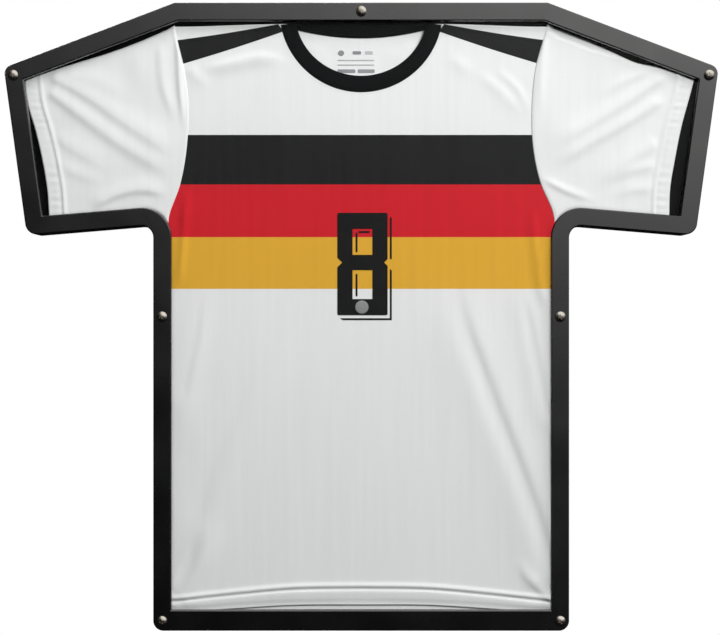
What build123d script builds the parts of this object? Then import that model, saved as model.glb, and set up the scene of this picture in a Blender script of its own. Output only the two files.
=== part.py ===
"""T-shirt shaped wall frame that displays a jersey behind a clear cover.

Millimetres. X points to the viewer's right, Z up, and the front faces -Y.
The origin is midway between the two hanger ring pivots, on the wall plane Y = 0,
so every depth below is a distance from the wall towards the viewer.
"""

import os
from math import cos, hypot, radians, sin

from build123d import *

os.makedirs("parts", exist_ok=True)

# ---------------------------------------------------------------- driving dimensions
top_edge = 90.0  # height of the frame's top edge above the hanger pivots
frame_height = 803.0
top_half = 238.5  # half the level top bar
shoulder_half, shoulder_drop = 457.0, 83.0  # where the sloping bar meets the sleeve end
cuff_half, cuff_drop = 427.5, 297.5  # lower corner of the sleeve end
torso_half, armpit_drop = 265.8, 284.0
top_radius, shoulder_radius, cuff_radius, armpit_radius, bottom_radius = 3.0, 12.0, 15.0, 15.0, 13.0

bar_width, bottom_bar = 23.0, 26.5  # face width of the bezel, and of its bottom rail
wall_width = 18.0  # width of the spacer rim's wall

bumper_depth = 4.0
board_depth = 4.0
rim_depth = 13.0
cover_depth = 2.0
bezel_depth = 5.0
board_back = bumper_depth
board_front = board_back + board_depth
rim_front = board_front + rim_depth
cover_front = rim_front + cover_depth
bezel_front = cover_front + bezel_depth
bezel_round, window_bevel = 1.6, 1.2

# fasteners: an M5 dome-head screw, a nylon washer and a closed barrel nut
screw_inset = 11.5
shank_radius, nut_bore, running_gap = 2.45, 2.50, 0.05
head_radius, head_edge, head_height = 6.5, 0.9, 3.1
washer_depth, washer_radius = 0.8, 6.0
screw_length = 20.0
tip_chamfer = 0.7
nut_radius, nut_length, nut_flange_radius, nut_flange = 3.5, 12.5, 6.0, 1.2
nut_bore_depth = 11.3
hole_gap = 0.3
recess_width, recess_length, recess_depth, recess_taper = 1.3, 6.2, 1.8, 8.0

# hangers
hanger_half = 150.0
strap_depth, strap_width, strap_length = 0.8, 10.0, 32.0
wire_radius, eye_radius = 1.0, 1.1
eye_outer = eye_radius + strap_depth
ring_half, ring_drop, ring_corner, ring_bow = 8.0, 14.0, 2.5, 7.5
rivet_drops = (7.5, 25.0)
rivet_radius, rivet_head_radius, rivet_head = 1.6, 2.8, 0.8
bumper_radius, bumper_chamfer = 6.0, 1.0

# jersey, laid flat round a form board
cloth = 1.0
layer_gap = 0.2
rivet_room = 1.2  # the inner rivet heads stand behind the jersey
jersey_half = 246.5
neck_join, neck_top = 96.0, 24.0  # shoulder line at the neck
seam_top, seam_mid, seam_end = (237.5, 32.0), (221.0, 134.0), (249.6, 283.0)
front_hem, front_hem_middle, back_hem = 782.0, 769.0, 783.5
collar_outer = (108.0, 109.0, 6.0)  # half width, half height and drop of its centre
collar_inner = (86.0, 82.0, 12.0)
back_collar_drop = 44.0
cuff_top, cuff_middle, cuff_bottom = (434.0, 98.5), (413.0, 182.0), (401.0, 275.6)
sleeve_top = (374.0, 77.5)
armpit_centre, armpit_clear = (280.8, 300.3), 35.0  # keeps the sleeve off the rim's armpit
board_margin = 8.0

back_panel_back = board_front + rivet_room
form_back = back_panel_back + cloth + layer_gap
form_depth = 3.0
front_panel_back = form_back + form_depth + layer_gap
front_panel_front = front_panel_back + cloth
trim_depth = 0.4
collar_depth = 1.4


# ---------------------------------------------------------------- shared outlines
def front_plane(depth):
    """The sketch plane that faces the viewer, at a depth from the wall."""
    return Plane.XZ.offset(depth)


def both_sides(half):
    """Mirrors the right half of an outline, listed from the top down, into a closed loop."""
    right = [(x, top_edge - drop) for x, drop in half]
    return right + [(-x, z) for x, z in reversed(right)]


def inset(points, distances):
    """Moves each side of a clockwise loop inwards and returns the corners where they meet."""
    sides = []
    for (x0, z0), (x1, z1), distance in zip(points, points[1:] + points[:1], distances):
        length = hypot(x1 - x0, z1 - z0)
        nx, nz = (z1 - z0) / length, -(x1 - x0) / length
        sides.append((nx, nz, nx * x0 + nz * z0 + distance))
    corners = []
    for (a, b, c), (d, e, f) in zip(sides[-1:] + sides[:-1], sides):
        turn = a * e - b * d
        corners.append(((c * e - b * f) / turn, (a * f - c * d) / turn))
    return corners


shirt_corners = both_sides(
    [
        (top_half, 0),
        (shoulder_half, shoulder_drop),
        (cuff_half, cuff_drop),
        (torso_half, armpit_drop),
        (torso_half, frame_height),
    ]
)


def shirt_outline(distance=0.0, rounded=True, bottom=None):
    """The T-shirt outline, inset by a distance. Only the armpits are round on an inner edge."""
    distances = [distance] * len(shirt_corners)
    if bottom:
        distances[4] = bottom
    armpit = armpit_radius + distance
    sharp = 0.6
    half = [top_radius, shoulder_radius, cuff_radius, armpit, bottom_radius]
    if not rounded:
        half = [sharp, sharp, sharp, armpit, sharp]
    FilletPolyline(*inset(shirt_corners, distances), radius=half + half[::-1], close=True)


fasteners = {
    "top": (0.0, top_edge - screw_inset),
    "shoulder": (shoulder_half - screw_inset - 1.0, top_edge - shoulder_drop - 10.0),
    "side": (torso_half - screw_inset, top_edge - frame_height / 2),
    "bottom": (torso_half - screw_inset, top_edge - frame_height + 13.0),
}
fastener_places = {"top": fasteners["top"]}
for place in ("shoulder", "side", "bottom"):
    x, z = fasteners[place]
    fastener_places[f"{place}_left"] = (-x, z)
    fastener_places[f"{place}_right"] = (x, z)
all_fasteners = list(fastener_places.values())


def save(builder, name):
    builder.part.label = name
    export_step(builder.part, f"parts/{name}.step")


# ---------------------------------------------------------------- rear tray
with BuildPart() as back_board:
    with BuildSketch(front_plane(board_back)):
        with BuildLine():
            shirt_outline()
        make_face()
        with Locations(*all_fasteners):
            Circle(nut_radius, mode=Mode.SUBTRACT)
        with Locations(*[(s * hanger_half, -d) for s in (-1, 1) for d in rivet_drops]):
            Circle(rivet_radius, mode=Mode.SUBTRACT)
    extrude(amount=board_depth)
save(back_board, "back_board")

with BuildPart() as spacer_rim:
    with BuildSketch(front_plane(board_front)):
        with BuildLine():
            shirt_outline()
        make_face()
        with BuildLine():
            shirt_outline(wall_width, rounded=False)
        make_face(mode=Mode.SUBTRACT)
        with Locations(*all_fasteners):
            Circle(nut_radius, mode=Mode.SUBTRACT)
    extrude(amount=rim_depth)
save(spacer_rim, "spacer_rim")

with BuildPart() as barrel_nuts:
    with BuildSketch(front_plane(board_back - nut_flange)):
        with Locations(*all_fasteners):
            Circle(nut_flange_radius)
    extrude(amount=nut_flange)
    with BuildSketch(front_plane(board_back)):
        with Locations(*all_fasteners):
            Circle(nut_radius)
    extrude(amount=nut_length)
    with BuildSketch(front_plane(board_back + nut_length)):
        with Locations(*all_fasteners):
            Circle(nut_bore)
    extrude(amount=-nut_bore_depth, mode=Mode.SUBTRACT)
    with BuildSketch(front_plane(board_back - nut_flange)):
        with Locations(*all_fasteners):
            Rectangle(nut_flange_radius * 1.5, 1.2)
    extrude(amount=0.6, mode=Mode.SUBTRACT)
save(barrel_nuts, "barrel_nuts")

# ---------------------------------------------------------------- front: bezel and cover
with BuildPart() as clear_cover:
    with BuildSketch(front_plane(rim_front)):
        with BuildLine():
            shirt_outline()
        make_face()
        with Locations(*all_fasteners):
            Circle(shank_radius + hole_gap, mode=Mode.SUBTRACT)
    extrude(amount=cover_depth)
save(clear_cover, "clear_cover")

with BuildPart() as bezel:
    with BuildSketch(front_plane(cover_front)):
        with BuildLine():
            shirt_outline()
        make_face()
        with BuildLine():
            shirt_outline(bar_width, rounded=False, bottom=bottom_bar)
        make_face(mode=Mode.SUBTRACT)
        with Locations(*all_fasteners):
            Circle(shank_radius + hole_gap, mode=Mode.SUBTRACT)
    extrude(amount=bezel_depth)
    face = bezel.faces().sort_by(Axis.Y)[0]
    window_edge = sorted(face.inner_wires(), key=lambda wire: wire.length)[-1].edges()
    fillet(face.outer_wire().edges(), radius=bezel_round)
    chamfer(window_edge, length=window_bevel)
save(bezel, "bezel")


# ---------------------------------------------------------------- screws and washers
def dome_profile():
    """Half section of a dome-head screw: radius across, height above the head's seat up."""
    Polyline(
        (0, head_height),
        (0, -screw_length),
        (shank_radius - tip_chamfer, -screw_length),
        (shank_radius, tip_chamfer - screw_length),
        (shank_radius, 0),
        (head_radius, 0),
        (head_radius, head_edge),
    )
    cap = head_height - head_edge
    ball = (head_radius**2 + cap**2) / (2 * cap)
    half = head_radius / 2
    ThreePointArc(
        (head_radius, head_edge),
        (half, head_height - ball + (ball**2 - half**2) ** 0.5),
        (0, head_height),
    )


for place, (x, z) in fastener_places.items():
    seat = bezel_front + washer_depth

    with BuildPart() as washer:
        with BuildSketch(front_plane(bezel_front)):
            with Locations((x, z)):
                Circle(washer_radius)
                Circle(shank_radius + running_gap, mode=Mode.SUBTRACT)
        extrude(amount=washer_depth)
    save(washer, f"washer_{place}")

    with BuildPart() as screw:
        with BuildSketch(Plane(origin=(x, -seat, z), x_dir=(1, 0, 0), z_dir=(0, 0, -1))):
            with BuildLine():
                dome_profile()
            make_face()
        revolve(axis=Axis((x, -seat, z), (0, -1, 0)))
        with BuildSketch(front_plane(seat + head_height)):
            with Locations((x, z)):
                Rectangle(recess_length, recess_width, rotation=20)
                Rectangle(recess_width, recess_length, rotation=20)
        extrude(amount=-recess_depth, taper=recess_taper, mode=Mode.SUBTRACT)
    save(screw, f"screw_{place}")

# ---------------------------------------------------------------- hangers and bumpers
eye_depth = board_back - eye_outer
for side, x in (("left", -hanger_half), ("right", hanger_half)):
    with BuildPart() as strap:
        with BuildSketch(front_plane(board_back - strap_depth)):
            with Locations((x, -strap_length / 2)):
                Rectangle(strap_width, strap_length)
            with Locations(*[(x, -d) for d in rivet_drops]):
                Circle(rivet_radius, mode=Mode.SUBTRACT)
        extrude(amount=strap_depth)
        fillet(strap.edges().filter_by(Axis.Y).group_by(Axis.Z)[0], radius=strap_width / 2 - 1)
        with BuildSketch(Plane.YZ.offset(x - strap_width / 2)):
            with Locations((-eye_depth, 0)):
                Circle(eye_outer)
        extrude(amount=strap_width)
        with BuildSketch(Plane.YZ.offset(x - strap_width / 2)):
            with Locations((-eye_depth, 0)):
                Circle(eye_radius)
        extrude(amount=strap_width, mode=Mode.SUBTRACT)
    save(strap, f"hanger_strap_{side}")

    with BuildPart() as ring:
        with BuildLine(front_plane(eye_depth)):
            FilletPolyline(
                (x - ring_half, 0),
                (x + ring_half, 0),
                (x + ring_half, -ring_drop),
                (x - ring_half, -ring_drop),
                radius=[ring_corner, ring_corner, ring_bow, ring_bow],
                close=True,
            )
        with BuildSketch(Plane.YZ.offset(x)):
            with Locations((-eye_depth, 0)):
                Circle(wire_radius)
        sweep()
    save(ring, f"hanger_ring_{side}")

with BuildPart() as hanger_rivets:
    spots = [(s * hanger_half, -d) for s in (-1, 1) for d in rivet_drops]
    with BuildSketch(front_plane(board_back - strap_depth)):
        with Locations(*spots):
            Circle(rivet_radius)
    extrude(amount=strap_depth + board_depth)
    with BuildSketch(front_plane(board_back - strap_depth)):
        with Locations(*spots):
            Circle(rivet_head_radius)
    extrude(amount=-rivet_head)
    with BuildSketch(front_plane(board_front)):
        with Locations(*spots):
            Circle(rivet_head_radius)
    extrude(amount=rivet_head)
    fillet(hanger_rivets.edges().group_by(Axis.Y)[-1], radius=rivet_head / 2)
save(hanger_rivets, "hanger_rivets")

bumper_x, bumper_drop = 350.0, 55.0
bumper_spots = [(s * bumper_x, top_edge - bumper_drop) for s in (-1, 1)]
bumper_spots += [(s * (torso_half - 45), top_edge - frame_height + screw_inset) for s in (-1, 1)]
with BuildPart() as wall_bumpers:
    with BuildSketch(front_plane(0)):
        with Locations(*bumper_spots):
            Circle(bumper_radius)
    extrude(amount=bumper_depth)
    chamfer(wall_bumpers.edges().group_by(Axis.Y)[-1], length=bumper_chamfer)
save(wall_bumpers, "wall_bumpers")


# ---------------------------------------------------------------- jersey and its form board
def drop(x, fall):
    """A point given by its distance below the frame's top edge."""
    return (x, top_edge - fall)


def torso_outline(margin, hem, hem_middle):
    """The torso between the two sleeve seams, from the shoulder line to the hem."""
    for s in (-1, 1):
        Polyline(
            drop(0, neck_top + margin),
            drop(s * neck_join, neck_top + margin),
            drop(s * (seam_top[0] - margin), seam_top[1] + margin),
        )
        ThreePointArc(
            drop(s * (seam_top[0] - margin), seam_top[1] + margin),
            drop(s * (seam_mid[0] - margin), seam_mid[1]),
            drop(s * (seam_end[0] - margin), seam_end[1]),
        )
        Polyline(
            drop(s * (seam_end[0] - margin), seam_end[1]),
            drop(s * (jersey_half - margin), seam_end[1] + 20),
            drop(s * (jersey_half - margin), hem),
        )
    half = jersey_half - margin
    ThreePointArc(drop(-half, hem), drop(0, hem_middle), drop(half, hem))


def collar_face(size, mode):
    half_width, half_height, centre = size
    with Locations(drop(0, centre)):
        Ellipse(half_width, half_height, mode=mode)


with BuildPart() as jersey_back_panel:
    with BuildSketch(front_plane(back_panel_back)):
        with BuildLine():
            torso_outline(0, back_hem, back_hem - 1)
        make_face()
    extrude(amount=cloth)
save(jersey_back_panel, "jersey_back_panel")

with BuildPart() as form_board:
    with BuildSketch(front_plane(form_back)):
        with BuildLine():
            torso_outline(board_margin, front_hem - 25, front_hem - 26)
        make_face()
        collar_face(collar_outer, Mode.SUBTRACT)
    extrude(amount=form_depth)
save(form_board, "form_board")

with BuildPart() as jersey_front_panel:
    with BuildSketch(front_plane(front_panel_back)):
        with BuildLine():
            torso_outline(0, front_hem, front_hem_middle)
        make_face()
        collar_face(collar_outer, Mode.SUBTRACT)
    extrude(amount=cloth)
save(jersey_front_panel, "jersey_front_panel")

with BuildPart() as jersey_collar:
    with BuildSketch(front_plane(front_panel_back)):
        collar_face(collar_outer, Mode.ADD)
        collar_face(collar_inner, Mode.SUBTRACT)
        with Locations(drop(0, neck_top - 150)):
            Rectangle(400, 300, mode=Mode.SUBTRACT)
    extrude(amount=collar_depth)
    with BuildSketch(front_plane(back_panel_back + cloth)):
        with BuildLine():
            ThreePointArc(
                drop(-collar_inner[0], neck_top + 14),
                drop(0, back_collar_drop),
                drop(collar_inner[0], neck_top + 14),
            )
            Polyline(
                drop(collar_inner[0], neck_top + 14),
                drop(collar_inner[0], neck_top),
                drop(-collar_inner[0], neck_top),
                drop(-collar_inner[0], neck_top + 14),
            )
        make_face()
    extrude(amount=cloth)
save(jersey_collar, "jersey_collar")

sleeve_gap = 0.8


def armpit_points(s):
    """Three points of the sleeve's edge round the rim's armpit, from the seam outwards."""
    x, fall = armpit_centre
    angles = (radians(a) for a in (149, 120, 92))
    return [drop(s * (x + armpit_clear * cos(a)), fall - armpit_clear * sin(a)) for a in angles]


for side, s in (("left", -1), ("right", 1)):
    with BuildPart() as sleeve:
        with BuildSketch(front_plane(back_panel_back)):
            with BuildLine():
                seam_low, under, under_end = armpit_points(s)
                seam_high = drop(s * (seam_top[0] + sleeve_gap), seam_top[1])
                seam_middle = drop(s * (seam_mid[0] + sleeve_gap), seam_mid[1])
                ThreePointArc(seam_high, seam_middle, seam_low)
                ThreePointArc(seam_low, under, under_end)
                cuff_low, cuff_mid, cuff_high = (
                    drop(s * x, fall) for x, fall in (cuff_bottom, cuff_middle, cuff_top)
                )
                Line(under_end, cuff_low)
                ThreePointArc(cuff_low, cuff_mid, cuff_high)
                Polyline(cuff_high, drop(s * sleeve_top[0], sleeve_top[1]), seam_high)
            make_face()
        extrude(amount=front_panel_front - back_panel_back)
    save(sleeve, f"jersey_sleeve_{side}")

    with BuildPart() as band:
        with BuildSketch(front_plane(front_panel_front)):
            with BuildLine():
                Polyline(
                    drop(s * 104.5, 37),
                    drop(s * 226, 77.5),
                    drop(s * 230, 52),
                    drop(s * 160, 29.5),
                    drop(s * 107.5, 26),
                    close=True,
                )
            make_face()
        extrude(amount=trim_depth)
    save(band, f"jersey_shoulder_band_{side}")

number_width, number_top = 64.8, 267.5
side_stroke, head_stroke, waist_stroke, foot_stroke = 19.6, 20.6, 19.6, 20.8
upper_counter, lower_counter = 33.6, 37.4
notch = 5.4
waist = number_top + head_stroke + upper_counter + waist_stroke / 2
number_bottom = waist + waist_stroke / 2 + lower_counter + foot_stroke
with BuildPart() as jersey_number:
    with BuildSketch(front_plane(front_panel_front)):
        with Locations(drop(0, (number_top + number_bottom) / 2)):
            Rectangle(number_width, number_bottom - number_top)
        with Locations(drop(0, waist - (waist_stroke + upper_counter) / 2)):
            Rectangle(number_width - 2 * side_stroke, upper_counter, mode=Mode.SUBTRACT)
        with Locations(drop(0, waist + (waist_stroke + lower_counter) / 2)):
            Rectangle(number_width - 2 * side_stroke, lower_counter, mode=Mode.SUBTRACT)
        for s in (-1, 1):
            with Locations(drop(s * number_width / 2, waist)):
                Rectangle(notch * 2**0.5, notch * 2**0.5, rotation=45, mode=Mode.SUBTRACT)
    extrude(amount=trim_depth)
save(jersey_number, "jersey_number")
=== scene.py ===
"""The looks of the T-shirt shaped jersey frame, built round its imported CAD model.

Shapes are worked out in millimetres as (across, drop below the frame's top edge, depth in front
of the wall) and placed in the part's own frame, which is in metres with its front facing -Y.
"""

import math

import bpy
import numpy as np
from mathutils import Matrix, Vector


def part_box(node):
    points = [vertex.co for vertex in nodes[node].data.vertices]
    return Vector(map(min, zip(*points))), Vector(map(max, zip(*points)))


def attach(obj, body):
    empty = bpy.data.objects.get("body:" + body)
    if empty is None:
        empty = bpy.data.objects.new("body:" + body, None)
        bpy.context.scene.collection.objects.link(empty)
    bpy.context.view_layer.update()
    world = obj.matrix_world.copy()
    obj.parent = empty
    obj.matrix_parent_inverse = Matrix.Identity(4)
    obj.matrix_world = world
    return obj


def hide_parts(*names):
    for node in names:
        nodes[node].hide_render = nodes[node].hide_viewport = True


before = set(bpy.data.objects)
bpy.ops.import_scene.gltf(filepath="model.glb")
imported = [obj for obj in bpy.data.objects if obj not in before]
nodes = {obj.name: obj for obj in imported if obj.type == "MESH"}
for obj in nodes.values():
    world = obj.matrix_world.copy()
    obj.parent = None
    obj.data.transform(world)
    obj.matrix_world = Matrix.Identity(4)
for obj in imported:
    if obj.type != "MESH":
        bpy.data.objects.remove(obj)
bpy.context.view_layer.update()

MM = 0.001
TRAY = "back_tray"
SIDES = (("left", -1), ("right", 1))
PLACES = ("top", *(height + side for height in ("shoulder_", "side_", "bottom_") for side, _ in SIDES))
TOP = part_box("bezel")[1].z


def front_of(node):
    """How far the node's front stands out from the wall, in millimetres."""
    return -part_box(node)[0].y / MM


def back_of(node):
    return -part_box(node)[1].y / MM


COVER_BACK = back_of("clear_cover")
PANEL_FRONT = front_of("jersey_front_panel")
BACK_PANEL_FRONT = front_of("jersey_back_panel")
BACK_PANEL_BACK = back_of("jersey_back_panel")
FORM_END = (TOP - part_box("form_board")[0].z) / MM


def place(x, drop, depth):
    """Millimetres across, below the top edge and in front of the wall, as metres in the row frame."""
    return (x * MM, -depth * MM, TOP - drop * MM)


def place_all(x, drop, depth):
    return [place(*p) for p in zip(np.ravel(x), np.ravel(drop), np.ravel(depth))]


# ================================================================ number helpers
def spline(knots, values):
    """A smooth curve through a few values, as a function that takes arrays."""
    knots, values = np.asarray(knots, float), np.asarray(values, float)
    slopes = np.gradient(values, knots)

    def curve(at):
        at = np.clip(np.asarray(at, float), knots[0], knots[-1])
        i = np.clip(np.searchsorted(knots, at) - 1, 0, len(knots) - 2)
        span = knots[i + 1] - knots[i]
        t = (at - knots[i]) / span
        low, high = values[i], values[i + 1]
        rise = high - low
        a = slopes[i] * span - rise
        b = rise - slopes[i + 1] * span
        return low + t * rise + t * (1 - t) * ((1 - t) * a + t * b)

    return curve


def ramp(at, low, high):
    """0 below low, 1 above high and smooth in between."""
    t = np.clip((np.asarray(at, float) - low) / (high - low), 0, 1)
    return t * t * (3 - 2 * t)


def bump(distance, width):
    return np.exp(-((distance / width) ** 2))


def evenly(low, high, step):
    """Numbers from low up to, but not including, high, about a step apart."""
    count = max(1, round((high - low) / step))
    return [low + (high - low) * i / count for i in range(count)]


def distances(points):
    """How far along a line each of its points is."""
    return np.concatenate([[0], np.cumsum(np.linalg.norm(np.diff(points, axis=0), axis=1))])


def smooth_path(points, pieces=24):
    """Points along a smooth line through a few (across, drop) points."""
    points = np.asarray(points, float)
    along = distances(points)
    at = np.linspace(0, along[-1], pieces + 1)
    return np.stack([spline(along, points[:, axis])(at) for axis in (0, 1)], axis=1)


def fold(x, drop, path, height, width, fades=(0.25, 0.25), spread=1.0, lean=1.0):
    """The height of a crease along a path. spread widens it from its start to its end.

    lean makes its slope gentler on the left of the path, seen from in front with drop downwards.
    """
    line = smooth_path(path)
    starts, steps = line[:-1], np.diff(line, axis=0)
    lengths = np.linalg.norm(steps, axis=1)
    along = distances(line)
    nearest = np.full(x.shape, 1e9)
    share, side = np.zeros(x.shape), np.zeros(x.shape)
    for start, step, length, before in zip(starts, steps, lengths, along):
        t = np.clip(((x - start[0]) * step[0] + (drop - start[1]) * step[1]) / length**2, 0, 1)
        gap = np.hypot(x - start[0] - t * step[0], drop - start[1] - t * step[1])
        closer = gap < nearest
        nearest = np.where(closer, gap, nearest)
        share = np.where(closer, (before + t * length) / along[-1], share)
        turn = (step[0] * (drop - start[1]) - step[1] * (x - start[0])) / length
        side = np.where(closer, turn, side)
    fade = ramp(share, 0, fades[0]) * ramp(1 - share, 0, fades[1])
    wide = width * (1 + (spread - 1) * share) * np.where(side > 0, lean, 1.0)
    return height * fade * bump(nearest, wide)


def ripple(x, drop, size, seed):
    """A gentle unevenness made of a few long waves."""
    rng = np.random.default_rng(seed)
    total = np.zeros(x.shape)
    for _ in range(6):
        angle, phase = rng.uniform(0, math.tau, 2)
        length = rng.uniform(70, 190)
        along = x * math.cos(angle) + drop * math.sin(angle)
        total += np.sin(along * math.tau / length + phase)
    return total * size / 6


# ================================================================ mesh helpers
def add_piece(name, points, faces, materials, face_slots=None, smooth=True):
    """A mesh piece that rides on the back tray. Its points are already in the row frame."""
    mesh = bpy.data.meshes.new(name)
    mesh.from_pydata([tuple(p) for p in points], [], faces)
    mesh.update()
    for material in materials:
        mesh.materials.append(material)
    if face_slots is not None:
        mesh.polygons.foreach_set("material_index", np.asarray(face_slots, np.int32))
    if smooth:
        mesh.shade_smooth()
    piece = bpy.data.objects.new(name, mesh)
    bpy.context.scene.collection.objects.link(piece)
    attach(piece, TRAY)
    return piece


def grid_faces(rows, columns, first=0):
    """Quads of a grid whose points run along each row, wound to face the viewer."""
    faces = []
    for r in range(rows - 1):
        for c in range(columns - 1):
            a = first + r * columns + c
            faces.append((a, a + columns, a + columns + 1, a + 1))
    return faces


def thicken(piece, depth):
    """Gives a cloth surface its thickness, away from the viewer."""
    solid = piece.modifiers.new("thickness", "SOLIDIFY")
    solid.thickness = depth * MM
    solid.offset = -1
    solid.use_even_offset = True


STITCH_PITCH, STITCH_LENGTH, STITCH_WIDTH, STITCH_HEIGHT = 3.4, 2.3, 0.55, 0.35
STITCH_SINK = 0.05  # how far its rim lies in the cloth
STITCH_PROFILE = ((-0.5, 0.35, 0.0), (-0.3, 1.0, 0.7), (0.0, 1.0, 1.0), (0.3, 1.0, 0.7), (0.5, 0.35, 0.0))
STITCH_RING = ((-0.5, 0.0), (-0.3, 0.8), (0.3, 0.8), (0.5, 0.0))


def stitches(name, path, surface):
    """A row of sewn stitches along a path, each a small rounded lozenge on the cloth."""
    path = np.asarray(path, float)
    along = distances(path)
    spots, raised = [], []
    for start in np.arange(STITCH_PITCH / 2, along[-1] - STITCH_PITCH / 2, STITCH_PITCH):
        here, ahead = ([np.interp(start + k, along, path[:, i]) for i in (0, 1)] for k in (0, 0.5))
        way = np.subtract(ahead, here) / math.dist(ahead, here)
        side = np.array([-way[1], way[0]])
        for share, wide, high in STITCH_PROFILE:
            for across, up in STITCH_RING:
                spots.append(here + way * share * STITCH_LENGTH + side * across * STITCH_WIDTH * wide)
                raised.append(STITCH_HEIGHT * high * up - STITCH_SINK)
    spots = np.array(spots)
    points = place_all(*spots.T, surface(*spots.T) + raised)
    around, each = len(STITCH_RING), len(STITCH_RING) * len(STITCH_PROFILE)
    pattern = grid_faces(len(STITCH_PROFILE), around)
    for i in range(0, each - around, around):
        pattern.append((i, i + around - 1, i + 2 * around - 1, i + around))
    pattern += [tuple(range(around)), tuple(range(each - 1, each - around - 1, -1))]
    faces = [tuple(first + i for i in face) for first in range(0, len(points), each) for face in pattern]
    return add_piece(name, points, faces, [WHITE_THREAD])


def film(name, loops, surface, material, thickness=0.3):
    """A thin heat-pressed print with small rounded edges, from closed (across, drop) loops."""
    curve = bpy.data.curves.new(name, "CURVE")
    curve.dimensions = "2D"
    curve.fill_mode = "BOTH"
    curve.extrude = thickness / 2
    curve.bevel_depth = thickness / 3
    curve.bevel_resolution = 2
    curve.offset = -thickness / 3
    for loop in loops:
        line = curve.splines.new("POLY")
        line.points.add(len(loop) - 1)
        for point, (x, drop) in zip(line.points, loop):
            point.co = (x, -drop, 0, 1)
        line.use_cyclic_u = True
    source = bpy.data.objects.new(name + "_outline", curve)
    bpy.context.scene.collection.objects.link(source)
    bpy.context.view_layer.update()
    mesh = bpy.data.meshes.new_from_object(source.evaluated_get(bpy.context.evaluated_depsgraph_get()))
    bpy.data.objects.remove(source)
    spots = np.array([(v.co.x, -v.co.y, v.co.z) for v in mesh.vertices])
    depth = surface(spots[:, 0], spots[:, 1]) + thickness / 2 + spots[:, 2]
    points = place_all(spots[:, 0], spots[:, 1], depth)
    faces = [tuple(face.vertices) for face in mesh.polygons]
    bpy.data.meshes.remove(mesh)
    return add_piece(name, points, faces, [material], smooth=False)


# ================================================================ material helpers
class Shader:
    """A node material under construction, with short calls for the nodes used here."""

    def __init__(self, name):
        self.material = bpy.data.materials.new(name)
        self.material.use_nodes = True
        self.tree = self.material.node_tree
        self.surface = self.tree.nodes["Principled BSDF"]
        self.output = self.tree.nodes["Material Output"]
        self.where = self.new("TexCoord").outputs["Object"]

    def new(self, kind):
        return self.tree.nodes.new("ShaderNode" + kind)

    def set(self, **values):
        for key, value in values.items():
            self.surface.inputs[key.replace("_", " ")].default_value = value

    def feed(self, node, socket, source):
        if isinstance(source, (int, float, tuple)):
            node.inputs[socket].default_value = source
        else:
            self.tree.links.new(source, node.inputs[socket])

    def stretched(self, x=1.0, y=1.0, z=1.0):
        node = self.new("Mapping")
        node.inputs["Scale"].default_value = (x, y, z)
        self.feed(node, "Vector", self.where)
        return node.outputs["Vector"]

    def noise(self, scale, detail=3.0, where=None):
        node = self.new("TexNoise")
        node.inputs["Scale"].default_value = scale
        node.inputs["Detail"].default_value = detail
        self.feed(node, "Vector", where or self.where)
        return node.outputs["Fac"]

    def waves(self, period, direction, distortion):
        """Stripes a period apart, in metres, across X or Z."""
        node = self.new("TexWave")
        node.bands_direction = direction
        node.inputs["Scale"].default_value = math.tau / 20 / period
        node.inputs["Distortion"].default_value = distortion
        node.inputs["Detail Scale"].default_value = 2.0
        self.feed(node, "Vector", self.where)
        return node.outputs["Fac"]

    def spread(self, source, low, high, start=0.0, end=1.0):
        """Maps a value from start..end to low..high."""
        node = self.new("MapRange")
        self.feed(node, "Value", source)
        node.inputs["From Min"].default_value = start
        node.inputs["From Max"].default_value = end
        node.inputs["To Min"].default_value = low
        node.inputs["To Max"].default_value = high
        return node.outputs["Result"]

    def maths(self, operation, a, b=0.0):
        node = self.new("Math")
        node.operation = operation
        self.feed(node, 0, a)
        self.feed(node, 1, b)
        return node.outputs[0]

    def blend(self, share, first, second):
        node = self.new("Mix")
        node.data_type = "RGBA"
        self.feed(node, 0, share)
        self.feed(node, 6, first)
        self.feed(node, 7, second)
        return node.outputs[2]

    def bumps(self, height, strength, distance):
        node = self.new("Bump")
        node.inputs["Strength"].default_value = strength
        node.inputs["Distance"].default_value = distance
        self.feed(node, "Height", height)
        self.feed(self.surface, "Normal", node.outputs["Normal"])

    def tint(self, colour, darker, scale, where=None):
        """A base colour that varies a little from place to place."""
        dark = tuple(c * darker for c in colour[:3]) + (1,)
        share = self.spread(self.noise(scale, where=where), 0, 1, 0.3, 0.7)
        self.feed(self.surface, "Base Color", self.blend(share, dark, colour))


WALE_PITCH, COURSE_PITCH = 0.0011, 0.0009  # metres


def knit(name, colour, sheen=0.25, darker=0.965):
    """Fine polyester knit: upright wales, finer courses across them and a soft sheen."""
    s = Shader(name)
    s.tint(colour, darker, 1.0, s.stretched(170, 170, 7))
    wales = s.waves(WALE_PITCH, "X", 0.6)
    courses = s.waves(COURSE_PITCH, "Z", 0.6)
    s.bumps(s.maths("MULTIPLY", wales, courses), 0.35, 0.00012)
    s.feed(s.surface, "Roughness", s.spread(s.noise(90), 0.8, 0.9))
    s.set(Sheen_Weight=sheen, Sheen_Roughness=0.4, Specular_IOR_Level=0.2)
    return s.material


def ribbed(name, colour):
    """Ribbed collar knit. Its ribs are in the mesh, so this adds only the yarn."""
    s = Shader(name)
    s.tint(colour, 0.75, 160)
    s.bumps(s.noise(1500, 2), 0.5, 0.00015)
    s.set(Roughness=0.9, Sheen_Weight=0.03, Sheen_Roughness=0.4, Specular_IOR_Level=0.08)
    return s.material


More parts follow.
